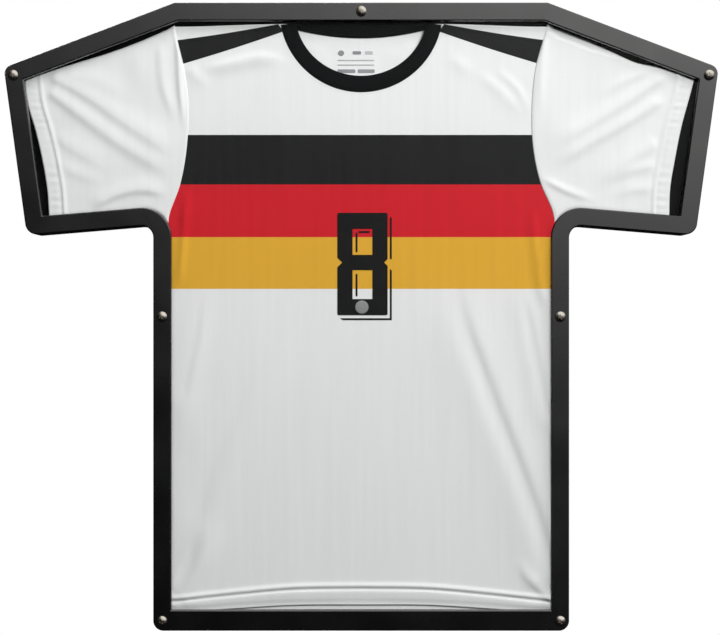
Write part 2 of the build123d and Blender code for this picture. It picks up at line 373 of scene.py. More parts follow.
def moulded(name, colour, roughness, grain=0.00005, grain_scale=900, edge=None, shine=0.3, ior=1.5):
    """Moulded or painted plastic: fine grain, cloudy gloss and, if asked, paler edges as a painted edge
    highlight.
    """
    s = Shader(name)
    s.tint(colour, 0.8, 25)
    cloud = s.spread(s.noise(14, 4), roughness - 0.04, roughness + 0.05, 0.3, 0.7)
    s.feed(s.surface, "Roughness", cloud)
    s.bumps(s.noise(grain_scale, 2), 0.25, grain)
    s.set(Specular_IOR_Level=shine, IOR=ior)
    # Painted highlight: the edge colour is blended in along every edge, broken up a little by noise.
    if edge:
        highlight_bevel = s.new("Bevel")
        highlight_bevel.samples = 4
        highlight_bevel.inputs["Radius"].default_value = 0.0008
        facing = s.new("VectorMath")
        facing.operation = "DOT_PRODUCT"
        true_normal = s.new("NewGeometry").outputs["Normal"]
        s.tree.links.new(highlight_bevel.outputs["Normal"], facing.inputs[0])
        s.tree.links.new(true_normal, facing.inputs[1])
        share = s.maths("MULTIPLY", s.spread(facing.outputs["Value"], 1, 0, 0.9, 1.0), s.noise(60))
        base = s.surface.inputs["Base Color"].links[0].from_socket
        s.feed(s.surface, "Base Color", s.blend(share, base, edge))
    return s.material


def metal(name, colour, roughness, streak=0.0):
    """Plated metal with fine scratches and uneven polish."""
    s = Shader(name)
    s.tint(colour, 0.9, 220)
    s.feed(s.surface, "Roughness", s.spread(s.noise(400, 4), roughness * 0.7, roughness * 1.5, 0.3, 0.7))
    s.bumps(s.noise(1.0, 2, s.stretched(2600, 2600, 300)), 0.1 + streak, 0.00003)
    s.set(Metallic=1.0)
    return s.material


def fibreboard():
    """Black painted fibreboard: faint fibres and a dull roller texture."""
    s = Shader("board_paint")
    s.tint((0.0065, 0.0065, 0.0068, 1), 0.6, 60)
    s.feed(s.surface, "Roughness", s.spread(s.noise(35, 5), 0.55, 0.75))
    s.set(Specular_IOR_Level=0.15)
    fibres = s.noise(1.0, 4, s.stretched(140, 140, 900))
    s.bumps(s.maths("ADD", fibres, s.noise(700, 2)), 0.3, 0.0001)
    return s.material


def clear_sheet():
    """A clear acrylic sheet: light goes straight through its faces; its pale cut edge is partly frosted,
    partly a painted glow.
    """
    s = Shader("cover_acrylic")
    clear = s.new("BsdfTransparent")
    clear.inputs["Color"].default_value = (0.985, 0.99, 0.99, 1)
    gloss = s.new("BsdfGlossy")
    gloss.inputs["Roughness"].default_value = 0.06
    s.feed(gloss, "Color", s.spread(s.noise(3, 2), 0.85, 1.0))
    bounce = s.new("Fresnel")
    bounce.inputs["IOR"].default_value = 1.25
    geometry = s.new("NewGeometry")
    outside = s.maths("SUBTRACT", 1.0, geometry.outputs["Backfacing"])
    face = s.new("MixShader")
    s.feed(face, 0, s.maths("MULTIPLY", bounce.outputs["Fac"], outside))
    s.feed(face, 1, clear.outputs["BSDF"])
    s.feed(face, 2, gloss.outputs["BSDF"])
    normal = s.new("SeparateXYZ")
    s.feed(normal, 0, geometry.outputs["True Normal"])
    is_face = s.maths("GREATER_THAN", s.maths("ABSOLUTE", normal.outputs["Y"]), 0.5)
    # The cut edge's pale colour: partly its frosted finish, partly a painted glow of light carried along
    # the sheet.
    s.tint((0.80, 0.84, 0.84, 1), 0.85, 300)
    s.set(Roughness=0.25, Transmission_Weight=0.2)
    whole = s.new("MixShader")
    s.feed(whole, 0, is_face)
    s.feed(whole, 1, s.surface.outputs["BSDF"])
    s.feed(whole, 2, face.outputs["Shader"])
    s.feed(s.output, "Surface", whole.outputs["Shader"])
    return s.material


# ================================================================ materials
WHITE_KNIT = knit("knit_white", (0.82, 0.82, 0.82, 1))
BLACK_KNIT = knit("knit_black", (0.018, 0.018, 0.0185, 1), sheen=0.08, darker=0.8)
RED_KNIT = knit("knit_red", (0.62, 0.018, 0.028, 1), sheen=0.12, darker=0.93)
GOLD_KNIT = knit("knit_gold", (0.74, 0.40, 0.042, 1), sheen=0.12, darker=0.95)
BLACK_RIB = ribbed("rib_black", (0.0050, 0.0058, 0.0062, 1))
WHITE_THREAD = moulded("thread_white", (0.78, 0.78, 0.79, 1), 0.7, 0.00003, 2500)
BLACK_PRINT = moulded("print_black", (0.0125, 0.013, 0.013, 1), 0.6, 0.00003, 1800, shine=0.15)
GREY_PRINT = moulded("print_grey", (0.30, 0.31, 0.32, 1), 0.6, 0.00002, 1800)
PALE_PRINT = moulded("print_pale", (0.55, 0.56, 0.57, 1), 0.6, 0.00002, 1800)
SILVER_PRINT = moulded("print_silver", (0.27, 0.28, 0.275, 1), 0.45, 0.00003, 1200)
# Its pale edge colour is a painted highlight along the bezel's edges.
BEZEL_PLASTIC = moulded(
    "bezel_satin", (0.0013, 0.0013, 0.0016, 1), 0.27, 0.00003, 1100, (0.05, 0.05, 0.052, 1), 1.0, 1.75
)
RIM_PLASTIC = moulded("rim_matt", (0.004, 0.004, 0.0043, 1), 0.55, 0.00006, 700, shine=0.15)
NYLON = moulded("washer_nylon", (0.015, 0.015, 0.016, 1), 0.45, 0.00003, 1500)
RUBBER = moulded("bumper_rubber", (0.02, 0.02, 0.021, 1), 0.8, 0.0001, 600)
FORM_SHEET = moulded("form_sheet", (0.72, 0.73, 0.74, 1), 0.5, 0.00008, 150)
NICKEL = metal("nickel_polish", (0.74, 0.69, 0.61, 1), 0.27)
ZINC = metal("zinc_plate", (0.56, 0.57, 0.60, 1), 0.34, 0.25)
BOARD = fibreboard()
ACRYLIC = clear_sheet()


def dress(node, material):
    nodes[node].data.materials.clear()
    nodes[node].data.materials.append(material)


def dress_cad_nodes():
    """Gives every CAD node that still shows its real finish."""
    finishes = {
        "bezel": BEZEL_PLASTIC,
        "clear_cover": ACRYLIC,
        "spacer_rim": RIM_PLASTIC,
        "back_board": BOARD,
        "barrel_nuts": ZINC,
        "hanger_rivets": ZINC,
        "wall_bumpers": RUBBER,
        "form_board": FORM_SHEET,
    }
    for side, _ in SIDES:
        finishes["hanger_strap_" + side] = ZINC
        finishes["hanger_ring_" + side] = ZINC
    for spot in PLACES:
        finishes["screw_" + spot] = NICKEL
        finishes["washer_" + spot] = NYLON
    for node, material in finishes.items():
        dress(node, material)


# ================================================================ the jersey's body
CLOTH = 0.9
BODY_HALF = 246.5
NECK_HALF, NECK_TOP = 96.0, 24.0
SHOULDER_HALF, SHOULDER_END = 240.0, 27.5
BANDS = (167.0, 230.9, 298.9, 365.6)  # drops where black, red, gold and white begin
YOKE = 60.0  # drop where the rows stop following the shoulders
HEM_ZONE = 734.0  # drop where the rows start following the hem
ARMHOLE_FOOT, ARMHOLE_END = 284.0, 300.0
TUCK = 3.0  # how far the front panel runs on under the sleeves
armhole = spline(
    [24, 30, 92, 131, 170, 230, 274, 303],
    [240.8, 240.1, 227.2, 223.4, 224.6, 234.1, 249.0, 249.0],
)
HEM_KNOTS = (0, 90, 164, 211, 247)
hem_line = spline(HEM_KNOTS, (773.0, 773.6, 778.0, 781.0, 782.4))
hem_depth = spline(HEM_KNOTS, (20.8, 19.8, 17.6, 15.6, 13.2))  # from the hem's edge up to its sewing
HEM_PUFF, HEM_TURN = 1.3, 1.1  # height of the hem's band, and how far its edge turns down
HEM_RIDGE, HEM_GROOVE = 1.8, 0.6  # heights of the ridge above the sewing and the groove along it
SIDE_ROLL, SIDE_SETBACK = 3.5, 3.0  # width and depth of the body's rolled sides

# Each crease: its path of (across, drop), height (below 0 for a valley), width, fades, spread and lean.
BODY_FOLDS = (
    (((-226, 240), (-229, 310), (-236, 374)), 2.2, 3.4, (0.3, 0.3), 1.2, 1.6),
    (((-204, 330), (-213, 420), (-226, 510), (-236, 590)), 1.9, 17.0, (0.4, 0.3), 1.0, 1.0),
    (((-204, 352), (-216, 437), (-234, 520)), -1.3, 5.4, (0.4, 0.2), 1.2, 1.8),
    (((-100, 370), (-146, 489), (-188, 580), (-212, 670), (-228, 740)), 2.3, 40.0, (0.4, 0.2), 0.9, 1.0),
    (((-104, 385), (-148, 489), (-190, 580), (-214, 670), (-232, 740)), -2.0, 14.0, (0.4, 0.3), 0.9, 1.4),
    (((-244, 764), (-224, 742), (-206, 712), (-188, 656)), 2.9, 15.0, (0.1, 0.6), 1.2, 1.0),
    (((-245, 763), (-233, 742), (-221, 716), (-206, 676)), -3.1, 5.0, (0.1, 0.6), 1.4, 1.6),
    (((112, 320), (130, 399), (165, 499), (206, 605), (258, 752)), 2.8, 32.0, (0.3, 0.05), 0.9, 1.3),
    (((118, 335), (131, 399), (166, 499), (207, 605), (260, 755)), -2.8, 8.0, (0.3, 0.05), 1.0, 1.7),
    (((200, 340), (222, 457), (240, 560)), 1.6, 15.0, (0.3, 0.2), 1.0, 1.0),
    (((206, 360), (226, 457), (244, 545)), -1.6, 4.6, (0.3, 0.15), 1.2, 1.7),
    (((222, 250), (227, 330), (238, 395)), 2.2, 4.0, (0.3, 0.2), 1.2, 1.5),
    (((236, 285), (232, 320), (233, 352)), 1.3, 3.4, (0.3, 0.4), 1.0, 1.0),
    (((247, 768), (230, 752), (213, 733), (203, 708)), 1.8, 5.0, (0.05, 0.5), 1.5, 1.4),
    (((146, 84), (182, 112), (214, 150)), 1.1, 6.0, (0.3, 0.4), 1.3, 1.5),
    (((172, 80), (202, 108), (220, 148)), 1.1, 4.6, (0.3, 0.4), 1.2, 1.3),
    (((-224, 76), (-212, 92), (-192, 112)), 1.3, 7.0, (0.2, 0.6), 1.5, 1.2),
    (((-210, 86), (-160, 73), (-122, 67), (-90, 79)), 2.4, 6.0, (0.3, 0.4), 1.2, 1.6),
    (((112, 62), (130, 78), (156, 92)), 1.0, 8.0, (0.3, 0.6), 1.5, 1.0),
    (((-226, 234), (-224, 258), (-228, 288)), 1.3, 4.6, (0.35, 0.4), 1.2, 1.3),
)
FORM_GAP = 0.25  # how far the panel may sink from its flat face towards the form board
EASE = 0.3  # how softly it comes to rest on the board


def shoulder_line(x):
    return NECK_TOP + (SHOULDER_END - NECK_TOP) * ramp(np.abs(x), NECK_HALF, SHOULDER_HALF)


def body_half(drop, tuck=0.0):
    """Half the body's width, from the armholes down to the straight sides."""
    half = np.where(drop < ARMHOLE_END, armhole(drop) + tuck * ramp(290 - drop, 0, 20), BODY_HALF)
    return half + (BODY_HALF - half) * ramp(drop, ARMHOLE_FOOT, ARMHOLE_END)


def body_surface(x, drop):
    """Depth of the front panel's face at a place, with its folds, its hem and its rolled sides."""
    x, drop = np.asarray(x, float), np.asarray(drop, float)
    depth = PANEL_FRONT + ripple(x, drop, 0.5, 3)
    for shape in BODY_FOLDS:
        depth = depth + fold(x, drop, *shape)
    above = hem_line(np.abs(x)) - drop
    sewn = hem_depth(np.abs(x))
    depth = depth + HEM_PUFF * ramp(above, -2, sewn - 4) * (1 - ramp(above, sewn - 4, sewn))
    depth = depth - HEM_TURN * (1 - ramp(above, -1, 9)) + HEM_RIDGE * bump(above - sewn - 4.4, 3.3)
    depth = depth - HEM_GROOVE * bump(above - sewn, 1.6)
    edge = np.clip((np.abs(x) - (BODY_HALF - SIDE_ROLL)) / SIDE_ROLL, 0, 1) * ramp(drop, 285, 305)
    depth = depth - SIDE_SETBACK * (1 - np.sqrt(1 - edge**2))
    near_number = bump(np.hypot(x / 60, (drop - 334) / 100), 1.0)
    lift = (depth - PANEL_FRONT) * (1 - near_number)
    return PANEL_FRONT - FORM_GAP + EASE * np.log1p(np.exp((lift + FORM_GAP) / EASE))


NECK_HOLE = (97.0, 92.0, 8.0)  # half width, half height and drop of its centre, under the collar


def neck_reach(x, drop):
    """Below 1 inside the neck hole's ellipse and above 1 outside it."""
    across, down, centre = NECK_HOLE
    return np.hypot(x / across, (drop - centre) / down)


def body_rows():
    """Nominal drops of the front panel's rows, with a row on every colour change."""
    rows = evenly(NECK_TOP, YOKE, 3) + evenly(YOKE, BANDS[0], 3)
    for low, high in zip(BANDS, (*BANDS[1:], HEM_ZONE)):
        rows += evenly(low, high, 3)
    return np.array(rows + evenly(HEM_ZONE, hem_line(0), 0.9) + [float(hem_line(0))])


def make_jersey_front():
    """The front panel: a white knit body with three broad colour bands and an open neck."""
    rows, columns = body_rows(), 165
    nominal = np.repeat(rows[:, None], columns, axis=1)
    x = body_half(nominal, TUCK) * np.linspace(-1, 1, columns)[None, :]
    upper = (nominal - NECK_TOP) / (YOKE - NECK_TOP)
    drop = np.where(nominal < YOKE, shoulder_line(x) + (YOKE - shoulder_line(x)) * upper, nominal)
    lower = (nominal - HEM_ZONE) / (hem_line(0) - HEM_ZONE)
    drop = np.where(nominal > HEM_ZONE, HEM_ZONE + (hem_line(np.abs(x)) - HEM_ZONE) * lower, drop)
    reach = neck_reach(x, drop)
    edge = (reach < 1.0) & (reach > 0.955)
    x = np.where(edge, x / reach, x)
    drop = np.where(edge, NECK_HOLE[2] + (drop - NECK_HOLE[2]) / reach, drop)
    kept = neck_reach(x, drop).ravel() > 0.99
    points = place_all(x, drop, body_surface(x, drop))
    faces = [face for face in grid_faces(len(rows), columns) if all(kept[i] for i in face)]
    used = sorted({i for face in faces for i in face})
    renumber = {old: new for new, old in enumerate(used)}
    starts = [nominal.ravel()[face[0]] for face in faces]
    faces = [tuple(renumber[i] for i in face) for face in faces]
    colours = [int(np.searchsorted(BANDS, start + 0.1)) % 4 for start in starts]
    panel = add_piece(
        "jersey_front",
        [points[i] for i in used],
        faces,
        [WHITE_KNIT, BLACK_KNIT, RED_KNIT, GOLD_KNIT],
        face_slots=colours,
    )
    thicken(panel, CLOTH)
    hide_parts("jersey_front_panel")
    return panel


BACK_HEM = 783.0
BACK_FOLDS = (
    (((70, 46), (52, 62), (30, 70)), 0.7, 7.0),
    (((-76, 44), (-58, 60), (-40, 84)), 0.6, 8.0),
)


def make_jersey_back():
    """The back panel, seen through the neck and as a thin line below the front hem."""
    rows = np.array(evenly(NECK_TOP, FORM_END, 6) + evenly(FORM_END, BACK_HEM, 2) + [BACK_HEM])
    columns = 84
    drop = np.repeat(rows[:, None], columns, axis=1)
    x = body_half(drop) * np.linspace(-1, 1, columns)[None, :]
    drop = np.maximum(drop, shoulder_line(x))
    depth = BACK_PANEL_FRONT + ripple(x, drop, 0.15, 11)
    for shape in BACK_FOLDS:
        depth = depth + fold(x, drop, *shape)
    depth = depth + 2.1 * ramp(drop, FORM_END + 3, FORM_END + 14)
    points = place_all(x, drop, depth)
    faces = grid_faces(len(rows), columns)
    panel = add_piece("jersey_back", points, faces, [WHITE_KNIT])
    thicken(panel, CLOTH)
    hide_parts("jersey_back_panel")
    return panel


# ================================================================ collar
COLLAR_OUTER = (105.5, 106.0, 6.0)
COLLAR_INNER = (84.8, 80.7, 10.0)  # both as half width, half height and drop of the centre
RIB_PITCH = 1.7
COLLAR_PUFF, BAND_PUFF = 1.5, 0.6
BAND_HALF = 98
band_line = spline([-98, -82, 0, 82, 98], [26.5, 30.8, 41.2, 30.8, 26.5])  # lower edge of the back band


def ellipse_point(size, angle):
    across, down, centre = size
    return np.array([across * math.cos(angle), centre + down * math.sin(angle)])


def make_front_collar():
    """The front rib, with its ribs across the band."""
    first = math.asin(0.18)
    length = math.pi * (COLLAR_OUTER[0] + COLLAR_INNER[0]) / 2
    ribs = round(length / RIB_PITCH)
    columns, rows = ribs * 5 + 1, 17
    points = []
    for r in range(rows):
        share = r / (rows - 1)
        for c in range(columns):
            angle = math.pi - first - (math.pi - 2 * first) * c / (columns - 1)
            inner, outer = ellipse_point(COLLAR_INNER, angle), ellipse_point(COLLAR_OUTER, angle)
            x, drop = inner + (outer - inner) * share
            crown = 1 - abs(2 * share - 1) ** 3
            rib = 0.16 * crown * math.cos(math.tau * ribs * c / (columns - 1))
            seam = 0.5 * bump(share - 0.9, 0.05)
            points.append(place(x, drop, PANEL_FRONT + 0.3 + COLLAR_PUFF * crown + rib - seam))
    faces = grid_faces(rows, columns)
    collar = add_piece("jersey_collar_front", points, faces, [BLACK_RIB])
    thicken(collar, 1.1)
    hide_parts("jersey_collar")
    return collar


def make_back_collar():
    """The band at the back of the neck."""
    columns, rows = 241, 7
    points = []
    for r in range(rows):
        share = r / (rows - 1)
        for c in range(columns):
            x = -BAND_HALF + 2 * BAND_HALF * c / (columns - 1)
            drop = NECK_TOP + (float(band_line(x)) - NECK_TOP) * share
            crown = 1 - abs(2 * share - 1) ** 3
            rib = 0.1 * math.cos(math.tau * x / RIB_PITCH / 2)
            points.append(place(x, drop, BACK_PANEL_FRONT + CLOTH + BAND_PUFF * crown + rib))
    faces = grid_faces(rows, columns)
    band = add_piece("jersey_collar_back", points, faces, [BLACK_RIB])
    thicken(band, 0.8)
    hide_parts("jersey_collar")
    return band


def bar(x0, x1, top, bottom, corner=0.8):
    """A box with its corners cut, as a loop."""
    return [
        *((x0 + corner, top), (x1 - corner, top), (x1, top + corner), (x1, bottom - corner)),
        *((x1 - corner, bottom), (x0 + corner, bottom), (x0, bottom - corner), (x0, top + corner)),
    ]


def neck_print():
    """Plain grey marks inside the neck, where a size print would be."""

    def inside(x, _drop):
        return np.full(np.shape(x), BACK_PANEL_FRONT + 0.25)

    dark = [bar(-30, -22, 57, 64, 2.4), bar(-11, 0, 58, 62)]
    dark += [bar(-30.5, -7.5, 81.5, 86), bar(-4.5, 17.5, 81.5, 86)]
    pale = [bar(5, 15, 58, 62), bar(-30.5, 17, 69, 70.4, 0.5), bar(-30.5, 17, 75, 76.4, 0.5)]
    return [
        film("neck_print_dark", dark, inside, GREY_PRINT, 0.12),
        film("neck_print_pale", pale, inside, PALE_PRINT, 0.12),
    ]


# ================================================================ shoulder bands and number
def make_shoulder_band(side, s):
    """One broad black band along the shoulder, from under the collar to under the sleeve."""
    low_in, low_out = (100.0, 33.5), (232.0, 76.0)
    high_in, high_out = (107.0, 24.2), (237.5, 45.0)
    rows, columns = 14, 70
    v, u = np.meshgrid(np.linspace(0, 1, rows), np.linspace(0, 1, columns), indexing="ij")

    def along(inner, outer):
        return np.array([a + (b - a) * u for a, b in zip(inner, outer)])

    x, drop = (1 - v) * along(high_in, high_out) + v * along(low_in, low_out)
    drop = drop + 1.0 * np.sin(math.pi * u)
    points = place_all(s * x, drop, body_surface(s * x, drop) + 0.28)
    faces = grid_faces(rows, columns)
    if s < 0:
        faces = [face[::-1] for face in faces]
    band = add_piece(f"jersey_band_{side}", points, faces, [BLACK_KNIT])
    thicken(band, 0.25)
    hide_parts(f"jersey_shoulder_band_{side}")
    return band


NUMBER_X, NUMBER_TOP = 1.7, 267.5
NUMBER_WIDTH, NUMBER_HEIGHT = 64.8, 132.0
SIDE_STROKE, HEAD_STROKE, WAIST_STROKE, FOOT_STROKE = 19.6, 20.6, 19.6, 20.8
UPPER_COUNTER = 33.6
LEFT_NOTCH, RIGHT_NOTCH = 6.2, 4.4
NUMBER_CORNER = 1.4
SHADOW_X, SHADOW_Y, SHADOW_LINE, SHADOW_GAP = 5.4, 6.4, 2.5, 2.9


def number_parts():
    """The block digit's outline and its two counters, as loops."""
    left, right = NUMBER_X - NUMBER_WIDTH / 2, NUMBER_X + NUMBER_WIDTH / 2
    top, foot = NUMBER_TOP, NUMBER_TOP + NUMBER_HEIGHT
    waist = top + HEAD_STROKE + UPPER_COUNTER + WAIST_STROKE / 2
    corners = bar(left, right, top, foot, NUMBER_CORNER)
    outline = [
        *corners[:3],
        (right, waist - RIGHT_NOTCH),
        (right - RIGHT_NOTCH, waist),
        (right, waist + RIGHT_NOTCH),
        *corners[3:7],
        (left, waist + LEFT_NOTCH),
        (left + LEFT_NOTCH, waist),
        (left, waist - LEFT_NOTCH),
        corners[7],
    ]
    upper = (top + HEAD_STROKE, waist - WAIST_STROKE / 2)
    lower = (waist + WAIST_STROKE / 2, foot - FOOT_STROKE)
    counters = [box_loop(left + SIDE_STROKE, right - SIDE_STROKE, *counter) for counter in (upper, lower)]
    return [outline, *counters], waist


def box_loop(x0, x1, top, bottom):
    return [(x0, top), (x0, bottom), (x1, bottom), (x1, top)]


def make_number():
    """The digit, the thin offset shadow beside and below it, and a plain round badge at its foot."""
    loops, waist = number_parts()
    digit = film("jersey_digit", loops, body_surface, BLACK_PRINT, 0.4)
    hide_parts("jersey_number")
    left, right = NUMBER_X - NUMBER_WIDTH / 2, NUMBER_X + NUMBER_WIDTH / 2
    top, foot = NUMBER_TOP, NUMBER_TOP + NUMBER_HEIGHT
    edge, base = right + SHADOW_X, foot + SHADOW_Y
    shadow = [
        box_loop(edge - SHADOW_LINE, edge, top + 6, waist - RIGHT_NOTCH),
        [
            (edge - SHADOW_LINE, waist + RIGHT_NOTCH + 4),
            (edge, waist + RIGHT_NOTCH + 6),
            (edge, base),
            (left + 7, base),
            (left + 3.5, base - SHADOW_LINE),
            (edge - SHADOW_LINE, base - SHADOW_LINE),
        ],
    ]
    for outer in loops[1:]:
        x0, top_edge, low_edge = outer[0][0], outer[0][1], outer[1][1]
        shadow.append(box_loop(x0 + SHADOW_GAP + 1, x0 + SHADOW_X + 1, top_edge + 5, low_edge - 3.6))
    (x0, head), (x1, _) = loops[1][0], loops[1][2]
    shadow.append(box_loop(x0 + SHADOW_X + 2.4, x1 - 3.6, head + SHADOW_GAP, head + SHADOW_X))
    lines = film("jersey_digit_shadow", shadow, body_surface, BLACK_PRINT, 0.25)
    return [digit, lines, make_badge(NUMBER_X - 0.8, foot - FOOT_STROKE / 2)]


BADGE_RINGS = (  # radius and height of each ring of points
    *((0.0, 0.62), (2.6, 0.60), (3.4, 0.36), (4.2, 0.58)),
    *((6.6, 0.56), (7.4, 0.34), (8.2, 0.5), (8.7, 0.1)),
)


def make_badge(x0, drop0):
    """A plain domed disc with two rings."""
    around = 48
    base = PANEL_FRONT + 0.4
    points = [place(x0, drop0, base + BADGE_RINGS[0][1])]
    for radius, height in BADGE_RINGS[1:]:
        for i in range(around):
            angle = math.tau * i / around
            x, drop = x0 + radius * math.cos(angle), drop0 - radius * math.sin(angle)
            points.append(place(x, drop, base + height))
    faces = [(0, 1 + i, 1 + (i + 1) % around) for i in range(around)]
    for ring in range(len(BADGE_RINGS) - 2):
        first = 1 + ring * around
        for i in range(around):
            j = (i + 1) % around
            faces.append((first + i, first + around + i, first + around + j, first + j))
    faces.append(tuple(range(len(points) - 1, len(points) - 1 - around, -1)))
    return add_piece("jersey_badge", points, faces, [SILVER_PRINT])


# ================================================================ sleeves
SLEEVE_BACK = BACK_PANEL_BACK + 0.3
SLEEVE_MID = (PANEL_FRONT + SLEEVE_BACK) / 2
CUFF_DEPTH = 20.5
CUFF_SLANT = 0.97  # distance square to the slanting cuff, over the level distance
SLEEVE_LIFT, SEAM_LIFT = 0.9, 0.35  # how far a sleeve and its seam stand in front of the body
COVER_ROOM = 0.8  # kept free behind the cover
EDGE_ROLL = 7.0  # how far in from a folded edge the sleeve starts to curve back
CUFF_LINE = {  # places on the cuff's edge, down from its top
    "left": (
        *((434.0, 96.6), (430.5, 124.0), (419.5, 163.0)),
        *((410.5, 202.0), (404.5, 238.0), (402.0, 275.2)),
    ),
    "right": (
        *((429.5, 94.5), (424.5, 113.5), (412.5, 157.5)),
        *((404.5, 198.0), (398.2, 236.5), (397.0, 275.2)),
    ),
}
SLEEVE_TOP = {  # places on the front layer's upper edge, out from the seam
    "left": (
        *((240.6, 26.0), (270.5, 39.5), (300.0, 51.5), (330.0, 62.0)),
        *((374.0, 75.5), (413.0, 88.5), (434.0, 96.6)),
    ),
    "right": (
        *((240.6, 34.5), (276.5, 50.5), (320.0, 64.5), (352.0, 73.2)),
        *((386.0, 79.8), (407.0, 86.5), (429.5, 94.5)),
    ),
}
REAR_TOP = (  # the right sleeve's rear layer stands a little higher
    *((240.6, 24.0), (276.5, 38.5), (316.0, 55.5), (335.0, 64.5)),
    *((352.0, 72.2), (386.0, 79.4), (429.5, 94.5)),
)
ARMPIT = (280.8, 300.3, 36.0)  # centre and radius of the clear space round the rim's armpit
SLEEVE_FOLDS = {  # as BODY_FOLDS, both drawn on the right-hand side
    "left": (
        (((402, 90), (352, 117), (306, 149), (236, 193)), 2.3, 6.8, (0.05, 0.2), 1.6, 1.8),
        (((404, 109), (356, 145), (302, 183), (240, 218)), 2.1, 6.6, (0.05, 0.2), 1.6, 1.7),
        (((384, 84), (330, 102), (286, 132)), 1.2, 9.0, (0.1, 0.5), 1.5, 1.2),
        (((350, 264), (322, 247), (286, 238), (246, 243)), 2.0, 4.6, (0.2, 0.25), 1.3, 2.3),
        (((236, 30), (234, 92), (228, 164)), 2.6, 4.0, (0.02, 0.4), 1.0, 1.0),
        (((259, 44), (256, 98), (238, 156)), 1.4, 5.4, (0.2, 0.4), 1.0, 1.3),
        (((290, 50), (286, 84), (274, 128)), 0.8, 11.0, (0.3, 0.6), 1.2, 1.4),
        (((398, 168), (360, 190), (310, 218)), 1.1, 7.0, (0.1, 0.6), 1.6, 1.6),
        (((394, 206), (362, 218), (322, 230)), 0.8, 6.0, (0.1, 0.6), 1.5, 1.4),
    ),
    "right": (
        (((396, 87), (346, 122), (296, 152), (240, 184)), 2.2, 6.0, (0.1, 0.25), 1.6, 1.6),
        (((394, 118), (345, 149), (300, 174), (242, 209)), 2.1, 6.0, (0.12, 0.25), 1.5, 1.6),
        (((376, 82), (338, 99), (300, 122)), 1.2, 5.0, (0.2, 0.5), 1.4, 1.2),
        (((228, 220), (262, 238), (308, 254)), 1.5, 5.0, (0.3, 0.5), 1.2, 0.8),
        (((236, 40), (232, 96), (229, 152)), 1.4, 5.0, (0.1, 0.5), 1.2, 1.0),
        (((386, 176), (336, 204), (286, 236)), 1.4, 7.0, (0.1, 0.6), 1.6, 1.5),
        (((384, 206), (344, 214), (296, 234)), 1.2, 6.0, (0.1, 0.6), 1.4, 1.4),
        (((384, 236), (350, 238), (312, 250)), 1.0, 6.0, (0.1, 0.6), 1.3, 1.4),
    ),
}


SEAM_DROPS = (24, 45, 71, 122, 187, 226, 258, 284)
SEAM_INSET = {  # how far a sleeve's seam lies in from the body's armhole
    "left": spline(SEAM_DROPS, (0.0, 0.8, 1.0, 1.0, 1.0, 1.0, 1.4, 0.6)),
    "right": spline(SEAM_DROPS, (0.0, 3.0, 4.4, 3.7, 4.0, 2.7, 0.7, 0.0)),
}


def seam_line(side, drop):
    return armhole(drop) - SEAM_INSET[side](drop)


def resample(points, count):
    """Points evenly spaced along a line."""
    points = np.asarray(points, float)
    along = distances(points)
    at = np.linspace(0, along[-1], count)
    return np.stack([np.interp(at, along, points[:, axis]) for axis in (0, 1)], axis=1)


def cuff_edge(side):
    return smooth_path(CUFF_LINE[side], 60)


def top_edge(side):
    """The upper fold, which on the right shows a strip of the sleeve's rear layer."""
    return smooth_path(SLEEVE_TOP["left"] if side == "left" else REAR_TOP, 60)


def sleeve_edges(side, rows, columns):
    """The seam, cuff, top and underside of a right-hand sleeve, as evenly spaced points."""
    top, cuff = top_edge(side), cuff_edge(side)
    drops = np.linspace(top[0][1], 281.5, 80)
    seam = np.stack([seam_line(side, drops), drops], axis=1)
    seam[0] = top[0]
    x, fall, radius = ARMPIT
    start = math.atan2(fall - seam[-1][1], x - seam[-1][0])
    turn = [start + (math.pi / 2 + 0.03 - start) * i / 12 for i in range(13)]
    under = [seam[-1]] + [(x - radius * math.cos(a), fall - radius * math.sin(a)) for a in turn[1:]]
    under.append(cuff[-1])
    return resample(seam, rows), resample(cuff, rows), resample(top, columns), resample(under, columns)


def sleeve_grid(side, rows, columns):
    """Places of a sleeve's points, blended from its four edges: (across, drop, u to cuff, v down)."""
    seam, cuff, top, under = sleeve_edges(side, rows, columns)
    v, u = np.meshgrid(np.linspace(0, 1, rows), np.linspace(0, 1, columns), indexing="ij")
    places = []
    for axis in (0, 1):
        across = (1 - u) * seam[:, axis][:, None] + u * cuff[:, axis][:, None]
        down = (1 - v) * top[:, axis][None, :] + v * under[:, axis][None, :]
        corners = (1 - u) * (1 - v) * top[0, axis] + u * (1 - v) * top[-1, axis]
        corners = corners + (1 - u) * v * under[0, axis] + u * v * under[-1, axis]
        places.append(across + down - corners)
    return places[0], places[1], u, v


def cuff_gap(side, x, drop):
    """Distance in from the cuff's edge."""
    cuff = cuff_edge(side)
    return (np.interp(drop, cuff[:, 1], cuff[:, 0]) - x) * CUFF_SLANT


